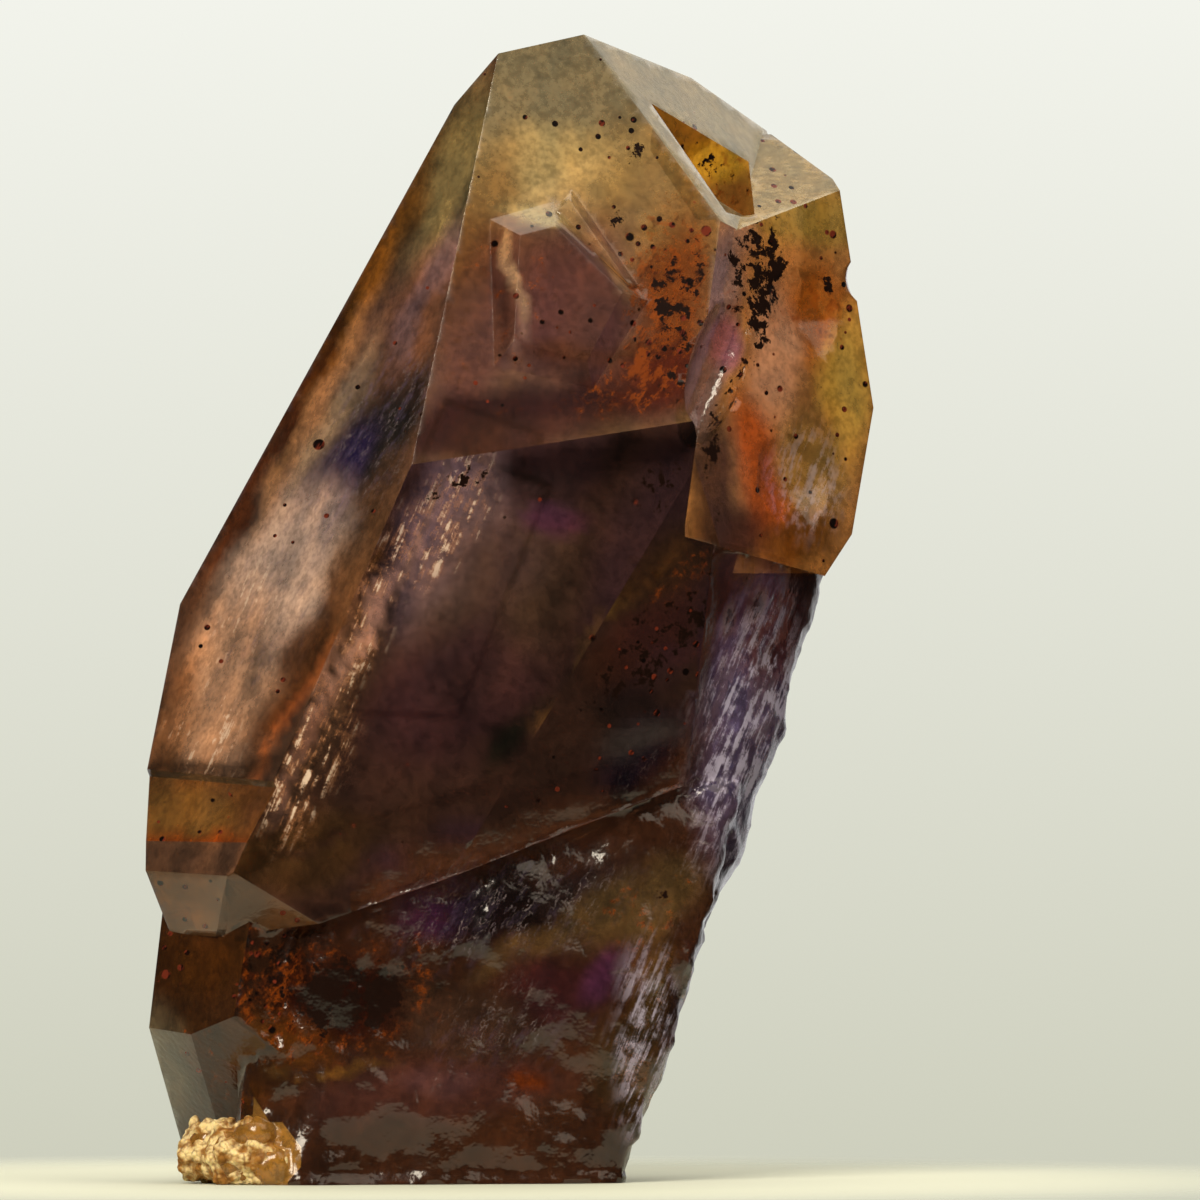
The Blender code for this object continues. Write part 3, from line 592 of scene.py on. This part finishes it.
def mm_coordinates(tree, turn=(0.0, 0.0, 0.0), scale=(1.0, 1.0, 1.0)):
    """Object coordinates in mm, turned and stretched for a pattern."""
    where = add_node(tree, "ShaderNodeTexCoord")
    mapping = add_node(tree, "ShaderNodeMapping", {"vector_type": "TEXTURE"}, {
        "Rotation": turn,
        "Scale": tuple(MM * part for part in scale),
    }, {"Vector": where.outputs["Object"]})
    return mapping.outputs["Vector"]


def ramp(tree, source, low, high, to_low=0.0, to_high=1.0):
    """A smooth step of a value between two limits."""
    made = add_node(tree, "ShaderNodeMapRange", {"interpolation_type": "SMOOTHSTEP"}, {
        "From Min": low, "From Max": high, "To Min": to_low, "To Max": to_high,
    }, {"Value": source})
    return made.outputs["Result"]


def maths(tree, operation, *values):
    made = add_node(tree, "ShaderNodeMath", {"operation": operation})
    for place, value in enumerate(values):
        if isinstance(value, (int, float)):
            made.inputs[place].default_value = value
        else:
            tree.links.new(value, made.inputs[place])
    return made.outputs["Value"]


def blend(tree, share, below, above, kind="MIX"):
    """Lays one colour over another by a share. Each colour is a hex value or a socket."""
    made = add_node(tree, "ShaderNodeMix", {"data_type": "RGBA", "blend_type": kind})
    if isinstance(share, float):
        made.inputs["Factor"].default_value = share
    else:
        tree.links.new(share, made.inputs["Factor"])
    for name, value in (("A", below), ("B", above)):
        if isinstance(value, str):
            made.inputs[name].default_value = (*linear(value), 1.0)
        else:
            tree.links.new(value, made.inputs[name])
    return made.outputs["Result"]


def mark_channels(tree):
    """The thickness of each kind of mark, by its name."""
    found = {}
    for number, kinds in enumerate(KINDS):
        layer = add_node(tree, "ShaderNodeAttribute", {"attribute_name": f"marks_{number}"})
        split = add_node(tree, "ShaderNodeSeparateColor", links={"Color": layer.outputs["Color"]})
        for kind, output in zip(kinds, split.outputs):
            found[kind] = output
    return found


def specks_of(tree, spacing, radius, thickness):
    """Round specks up to this radius in mm, one in some of the cells this wide, in more where they are thick.
    They are drawn out in depth, so that more of them reach the front."""
    place = mm_coordinates(tree, (0.0, 0.3, 0.2), (spacing, spacing * 2.5, spacing))
    cell = add_node(tree, "ShaderNodeVectorMath", {"operation": "FLOOR"}, links={0: place})
    chance = add_node(tree, "ShaderNodeTexWhiteNoise", links={"Vector": cell.outputs["Vector"]})
    split = add_node(tree, "ShaderNodeSeparateColor", links={"Color": chance.outputs["Color"]})
    inside = add_node(tree, "ShaderNodeVectorMath", {"operation": "FRACTION"}, links={0: place})
    reach = radius / spacing
    middle = add_node(tree, "ShaderNodeMapRange", {"data_type": "FLOAT_VECTOR"}, {
        "To Min": (reach, reach, reach), "To Max": (1 - reach, 1 - reach, 1 - reach),
    }, {"Vector": chance.outputs["Color"]})
    gap = add_node(tree, "ShaderNodeVectorMath", {"operation": "DISTANCE"}, links={
        0: inside.outputs["Vector"], 1: middle.outputs["Vector"],
    })
    there = maths(tree, "LESS_THAN", chance.outputs["Value"], thickness)
    size = maths(tree, "MULTIPLY_ADD", split.outputs["Green"], 0.5 * reach, 0.5 * reach)
    edge = maths(tree, "SUBTRACT", size, gap.outputs["Value"])
    return maths(tree, "MULTIPLY", there, ramp(tree, edge, 0.0, 0.25 * reach))


def quartz_material(settings):
    """Amethyst and smoky quartz, natural crystal faces: clear and glassy, tinted in soft zones, with rusty
    films, black iron specks, pale wisps, painted highlights as coppery glints along the ridge, and frosted breaks
    flecked with painted highlights."""
    made = bpy.data.materials.new("smoky_amethyst_quartz")
    made.use_nodes = True
    tree = made.node_tree
    shader = tree.nodes["Principled BSDF"]
    shader.inputs["IOR"].default_value = 1.544
    shader.inputs["Specular IOR Level"].default_value = 0.32
    marks = mark_channels(tree)
    place = mm_coordinates(tree)
    fine = add_node(tree, "ShaderNodeTexNoise", inputs={"Scale": 1.3, "Detail": 4.0, "Roughness": 0.72}, links={
        "Vector": place,
    })
    lines = add_node(tree, "ShaderNodeTexNoise", inputs={"Scale": 1.0, "Detail": 3.0, "Roughness": 0.6}, links={
        "Vector": mm_coordinates(tree, (0.0, math.radians(RIDGE_TURN), 0.0), (0.3, 0.8, 4.0)),
    })
    fibres = add_node(tree, "ShaderNodeTexNoise", inputs={"Scale": 1.0, "Detail": 3.0, "Roughness": 0.75}, links={
        "Vector": mm_coordinates(tree, (0.0, math.radians(38), 0.0), (0.5, 0.9, 1.6)),
    })
    tint = add_node(tree, "ShaderNodeAttribute", {"attribute_name": "tint"})
    colour = tint.outputs["Color"]

    grit = add_node(tree, "ShaderNodeTexNoise", inputs={"Scale": 3.0, "Detail": 1.0}, links={"Vector": place})
    crisp = maths(tree, "ADD", fine.outputs["Fac"], maths(tree, "MULTIPLY", grit.outputs["Fac"], 0.6))
    grain = ramp(tree, crisp, 0.55, 1.05, 0.72, 1.3)
    colour = blend(tree, 1.0, colour, grain, "MULTIPLY")
    flake = maths(tree, "MULTIPLY_ADD", lines.outputs["Fac"], 0.6, maths(tree, "MULTIPLY", fine.outputs["Fac"], 0.4))
    # Painted highlights: coppery glints of light reflected inside the crystal, in broken groups along the ridge, pale
    # copper with near white cores.
    painted_glint_groups = maths(tree, "MULTIPLY", ramp(tree, fine.outputs["Fac"], 0.4, 0.56), marks["painted_glint"])
    painted_glint_share = maths(tree, "MULTIPLY", ramp(tree, flake, 0.44, 0.62), painted_glint_groups)
    colour = blend(tree, painted_glint_share, colour, blend(tree, ramp(tree, flake, 0.54, 0.62), "#B07850", "#FFE6CC"))
    wisp = maths(tree, "MULTIPLY", ramp(tree, fibres.outputs["Fac"], 0.5, 0.8), marks["wisp"])
    colour = blend(tree, maths(tree, "MULTIPLY", wisp, 0.5), colour, "#9A88AC")
    thread = maths(tree, "ABSOLUTE", maths(tree, "SUBTRACT", fibres.outputs["Fac"], 0.52))
    needle = maths(tree, "MULTIPLY", ramp(tree, thread, 0.004, 0.02, 1.0, 0.0), ramp(tree, flake, 0.45, 0.58))
    needle = maths(tree, "MULTIPLY", needle, marks["needle"])
    colour = blend(tree, maths(tree, "MULTIPLY", needle, 0.6), colour, "#B4A6A8")
    # Frosted breaks: whitish, flecked with painted highlights of their hackle.
    frost_and_highlight = maths(tree, "MULTIPLY", ramp(tree, flake, 0.46, 0.6), marks["frost_and_highlight"])
    colour = blend(tree, maths(tree, "MULTIPLY", frost_and_highlight, 0.85), colour, "#D0CAE6")

    film = ramp(tree, maths(tree, "ADD", fine.outputs["Fac"], maths(tree, "MULTIPLY", marks["rust"], 0.4)), 0.68, 0.86)
    rust = maths(tree, "MULTIPLY", maths(tree, "MULTIPLY", film, ramp(tree, marks["rust"], 0.02, 0.3)), 0.8)
    colour = blend(tree, rust, colour, blend(tree, ramp(tree, fibres.outputs["Fac"], 0.4, 0.6), "#3E1606", "#8E420E"))
    net = ramp(tree, maths(tree, "ADD", fine.outputs["Fac"], maths(tree, "MULTIPLY", marks["iron"], 0.34)), 0.74, 0.8)
    iron = maths(tree, "MULTIPLY", net, ramp(tree, marks["iron"], 0.02, 0.2))
    colour = blend(tree, iron, colour, "#1A0D08")
    small = specks_of(tree, 0.8, 0.22, maths(tree, "MULTIPLY", marks["speck"], 0.95))
    large = specks_of(tree, 1.9, 0.42, maths(tree, "MULTIPLY", marks["speck"], 0.6))
    speck = maths(tree, "MAXIMUM", small, large)
    dot = blend(tree, ramp(tree, fibres.outputs["Fac"], 0.46, 0.6), "#0C0503", "#6A2A1A")
    colour = blend(tree, speck, colour, dot)
    tree.links.new(colour, shader.inputs["Base Color"])

    opaque = maths(tree, "MAXIMUM", maths(tree, "MAXIMUM", iron, speck), maths(tree, "MULTIPLY", rust, 0.6))
    opaque = maths(tree, "MAXIMUM", opaque, maths(tree, "MULTIPLY", maths(tree, "MAXIMUM", frost_and_highlight, painted_glint_share), 0.5))
    through = add_node(tree, "ShaderNodeMapRange", inputs={"To Min": settings.clearness, "To Max": 0.0}, links={
        "Value": opaque,
    })
    tree.links.new(through.outputs["Result"], shader.inputs["Transmission Weight"])
    dull = maths(tree, "MULTIPLY_ADD", frost_and_highlight, 0.2, settings.polish)
    tree.links.new(dull, shader.inputs["Roughness"])

    height = maths(tree, "MULTIPLY", grit.outputs["Fac"], ramp(tree, marks["hackle"], 0.0, 1.0, 0.1, 1.0))
    bump = add_node(tree, "ShaderNodeBump", inputs={"Strength": 0.6, "Distance": 0.05 * MM}, links={
        "Height": height,
    })
    tree.links.new(bump.outputs["Normal"], shader.inputs["Normal"])
    volume = add_node(tree, "ShaderNodeVolumeAbsorption", inputs={
        "Color": (*linear("#D9B8A6"), 1.0),
        "Density": settings.absorption,
    })
    tree.links.new(volume.outputs["Volume"], tree.nodes["Material Output"].inputs["Volume"])
    return made


def crust_material():
    """Limonite, an earthy iron crust: dull ochre and yellow grains with brown between them."""
    made = bpy.data.materials.new("limonite_crust")
    made.use_nodes = True
    tree = made.node_tree
    shader = tree.nodes["Principled BSDF"]
    shader.inputs["Specular IOR Level"].default_value = 0.25
    shader.inputs["Subsurface Weight"].default_value = 0.3
    shader.inputs["Subsurface Radius"].default_value = (1.2 * MM, 0.8 * MM, 0.3 * MM)
    shader.inputs["Subsurface Scale"].default_value = 1.0
    place = mm_coordinates(tree)
    grains = add_node(tree, "ShaderNodeTexVoronoi", inputs={"Scale": 3.4}, links={"Vector": place})
    earth = add_node(tree, "ShaderNodeTexNoise", inputs={"Scale": 1.1, "Detail": 5.0}, links={"Vector": place})
    colour = blend(tree, ramp(tree, earth.outputs["Fac"], 0.4, 0.6), "#9A6A2C", "#EBD29A")
    colour = blend(tree, ramp(tree, grains.outputs["Distance"], 0.45, 0.85, 0.0, 0.7), colour, "#6A3E14")
    tree.links.new(colour, shader.inputs["Base Color"])
    tree.links.new(ramp(tree, earth.outputs["Fac"], 0.3, 0.7, 0.75, 0.95), shader.inputs["Roughness"])
    bump = add_node(tree, "ShaderNodeBump", {"invert": True}, {"Strength": 0.8, "Distance": 0.2 * MM}, {
        "Height": grains.outputs["Distance"],
    })
    tree.links.new(bump.outputs["Normal"], shader.inputs["Normal"])
    return made


class CrystalSettings(bpy.types.PropertyGroup):
    """Sizes, clearness, polish and absorption of the quartz."""

    edge: FloatProperty(name="Edge", description="Width of the worn edges", default=0.12 * MM, unit="LENGTH")
    spacing: FloatVectorProperty(
        name="Cuts", description="Spacing of the fine cuts", default=(0.5 * MM, 1.0 * MM, 0.5 * MM), unit="LENGTH"
    )
    hackle_width: FloatProperty(name="Hackle", description="Width of the shells", default=2.4 * MM, unit="LENGTH")
    hackle_depth: FloatProperty(name="Depth", description="Depth of the shells", default=0.6 * MM, unit="LENGTH")
    chip_width: FloatProperty(name="Chips", description="Width of the chips", default=0.8 * MM, unit="LENGTH")
    chip_depth: FloatProperty(name="Chip depth", description="Depth of the chips", default=0.12 * MM, unit="LENGTH")
    clearness: FloatProperty(name="Clearness", description="Share of the light let through", default=0.6)
    polish: FloatProperty(name="Polish", description="Roughness of the clean faces", default=0.16)
    absorption: FloatProperty(name="Absorption", description="Density of the smoky colour per metre", default=40.0)


class StudioSettings(bpy.types.PropertyGroup):
    """The camera's distance."""

    distance: FloatProperty(name="Distance", description="Camera to crystal", default=1.2, unit="LENGTH")


class AMETHYST_OT_crystal(bpy.types.Operator):
    """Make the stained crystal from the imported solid"""

    bl_idname = "amethyst.crystal"
    bl_label = "Crystal"

    def execute(self, context):
        settings = context.scene.amethyst_crystal
        body = copy_of_solid()
        sort_faces(body)
        ease_edges(body, settings.edge)
        cut_fine(body, settings.spacing)
        break_rim(body)
        break_up(body, settings)
        paint(body)
        body.data.materials.clear()
        body.data.materials.append(quartz_material(settings))
        only(body)
        bpy.ops.object.shade_smooth_by_angle(angle=math.radians(32))
        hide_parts(NODE)
        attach(body, BODY)
        return {"FINISHED"}


class AMETHYST_OT_crust(bpy.types.Operator):
    """Make the lumps of iron crust at the lower left"""

    bl_idname = "amethyst.crust"
    bl_label = "Iron crust"

    def execute(self, context):
        bpy.ops.object.select_all(action="DESELECT")
        lumps = []
        for middle, radius in CRUST_LUMPS:
            bpy.ops.mesh.primitive_ico_sphere_add(
                subdivisions=4, radius=radius * MM, location=Vector(middle) * MM
            )
            lumps.append(context.object)
        for lump in lumps:
            lump.select_set(True)
        bpy.ops.object.join()
        crust = context.object
        crust.name = crust.data.name = "iron_crust"
        bpy.ops.object.transform_apply(location=True, rotation=True, scale=True)
        even = crust.modifiers.new("even", "REMESH")
        even.mode = "VOXEL"
        even.voxel_size = 0.16 * MM
        roughen(crust, "knobs", "VORONOI", 1.3 * MM, -0.8 * MM, 0.35, "")
        roughen(crust, "grit", "VORONOI", 0.5 * MM, -0.3 * MM, 0.3, "")
        apply_all(crust)
        bpy.ops.object.mode_set(mode="EDIT")
        bpy.ops.mesh.select_all(action="SELECT")
        bpy.ops.mesh.bisect(plane_co=(0, 0, 0.02 * MM), plane_no=(0, 0, 1), use_fill=True, clear_inner=True)
        bpy.ops.object.mode_set(mode="OBJECT")
        crust.data.materials.append(crust_material())
        bpy.ops.object.shade_smooth_by_angle(angle=math.radians(40))
        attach(crust, BODY)
        return {"FINISHED"}


# The camera stands far off and zooms in, which is how little the crystal narrows in the photograph.
VIEW_MIDDLE = (9.71 * MM, 30.45 * MM)
VIEW_WIDTH = 63 * MM
SENSOR = 36.0


def add_camera(distance):
    bpy.ops.object.camera_add(location=(VIEW_MIDDLE[0], -distance, VIEW_MIDDLE[1]), rotation=(math.pi / 2, 0, 0))
    camera = bpy.context.object
    camera.data.sensor_width = SENSOR
    camera.data.lens = SENSOR * distance / VIEW_WIDTH
    camera.data.clip_end = 50
    bpy.context.scene.camera = camera


def add_light(name, place, size, power, colour):
    """A soft box that looks at the middle of the crystal."""
    bpy.ops.object.light_add(type="AREA", location=place)
    light = bpy.context.object
    light.name = name
    light.data.shape = "RECTANGLE"
    light.data.size, light.data.size_y = size
    light.data.energy = power
    light.data.color = linear(colour)
    light.rotation_euler = (MIDDLE - Vector(place)).to_track_quat("-Z", "Y").to_euler()
    light.visible_camera = False
    return light


def world_light():
    """A graded pale surround for the camera, and a brighter back than front for what lights the quartz."""
    world = bpy.data.worlds.new("soft_surround")
    bpy.context.scene.world = world
    world.use_nodes = True
    tree = world.node_tree
    where = add_node(tree, "ShaderNodeTexCoord")
    axes = add_node(tree, "ShaderNodeSeparateXYZ", links={"Vector": where.outputs["Generated"]})
    behind = ramp(tree, axes.outputs["Y"], 0.55, 0.95, 0.03, 0.95)
    above = ramp(tree, axes.outputs["Z"], 0.5, 1.0, 0.0, 0.5)
    lit = maths(tree, "MAXIMUM", behind, above)
    seen = add_node(tree, "ShaderNodeMapRange", {}, {
        "From Min": -0.026, "From Max": 0.026, "To Min": 0.0, "To Max": 1.0,
    }, {"Value": axes.outputs["Z"]})
    grade = add_node(tree, "ShaderNodeMix", {"data_type": "RGBA"}, links={"Factor": seen.outputs["Result"]})
    grade.inputs["A"].default_value = (*linear("#CDCEBC"), 1.0)
    grade.inputs["B"].default_value = (*linear("#F2F3EB"), 1.0)
    path = add_node(tree, "ShaderNodeLightPath")
    colour = add_node(tree, "ShaderNodeMix", {"data_type": "RGBA"}, links={
        "Factor": path.outputs["Is Camera Ray"], "A": lit, "B": grade.outputs["Result"],
    })
    tree.links.new(colour.outputs["Result"], tree.nodes["Background"].inputs["Color"])


def add_floor():
    """A pale round table top that fades into the surround at its rim."""
    bpy.ops.mesh.primitive_circle_add(vertices=96, radius=1.0, fill_type="NGON", location=(0, 0, -0.02 * MM))
    floor = bpy.context.object
    floor.name = "pale_floor"
    made = bpy.data.materials.new("pale_painted_board")
    made.use_nodes = True
    tree = made.node_tree
    shader = tree.nodes["Principled BSDF"]
    shader.inputs["Base Color"].default_value = (*linear("#D2D8C8"), 1.0)
    shader.inputs["Roughness"].default_value = 0.8
    where = add_node(tree, "ShaderNodeTexCoord")
    reach = add_node(tree, "ShaderNodeVectorMath", {"operation": "LENGTH"}, links={0: where.outputs["Object"]})
    fade = add_node(tree, "ShaderNodeMapRange", {"interpolation_type": "SMOOTHSTEP"}, {
        "From Min": 0.024, "From Max": 0.06, "To Min": 1.0, "To Max": 0.0,
    }, {"Value": reach.outputs["Value"]})
    tree.links.new(fade.outputs["Result"], shader.inputs["Alpha"])
    floor.data.materials.append(made)


class AMETHYST_OT_studio(bpy.types.Operator):
    """Make the pale floor, the surround, the soft lights and the camera"""

    bl_idname = "amethyst.studio"
    bl_label = "Studio"

    def execute(self, context):
        bpy.ops.object.select_all(action="DESELECT")
        context.scene.view_settings.view_transform = "Standard"
        context.scene.cycles.max_bounces = 6
        context.scene.cycles.transmission_bounces = 6
        world_light()
        add_floor()
        add_light("top_box", (0.1, 0.2, 0.9), (0.8, 0.8), 4.0, "#FFF3D8")
        add_light("back_right_box", (0.73, 1.15, 0.62), (0.9, 0.9), 1.6, "#FFF0D0")
        add_light("front_left_box", (-0.3, -0.85, 0.7), (0.5, 0.5), 14.0, "#FFF2DC")
        add_light("high_right_box", (0.75, -0.45, 0.9), (1.0, 1.0), 5.0, "#FFF0D8")
        add_camera(context.scene.amethyst_studio.distance)
        return {"FINISHED"}


class AMETHYST_PT_panel(bpy.types.Panel):
    """Lists the steps that make the crystal and its studio"""

    bl_idname = "AMETHYST_PT_panel"
    bl_label = "Amethyst point"
    bl_space_type = "VIEW_3D"
    bl_region_type = "UI"
    bl_category = "Amethyst"

    def draw(self, context):
        for step in STEPS:
            self.layout.operator(step.bl_idname)


STEPS = (AMETHYST_OT_crystal, AMETHYST_OT_crust, AMETHYST_OT_studio)
CLASSES = (CrystalSettings, StudioSettings, *STEPS, AMETHYST_PT_panel)


def register():
    for made in CLASSES:
        bpy.utils.register_class(made)
    bpy.types.Scene.amethyst_crystal = PointerProperty(type=CrystalSettings)
    bpy.types.Scene.amethyst_studio = PointerProperty(type=StudioSettings)


def unregister():
    del bpy.types.Scene.amethyst_studio
    del bpy.types.Scene.amethyst_crystal
    for made in reversed(CLASSES):
        bpy.utils.unregister_class(made)


def main():
    register()
    bpy.ops.amethyst.crystal()
    bpy.ops.amethyst.crust()
    bpy.ops.amethyst.studio()


if __name__ == "__main__":
    main()
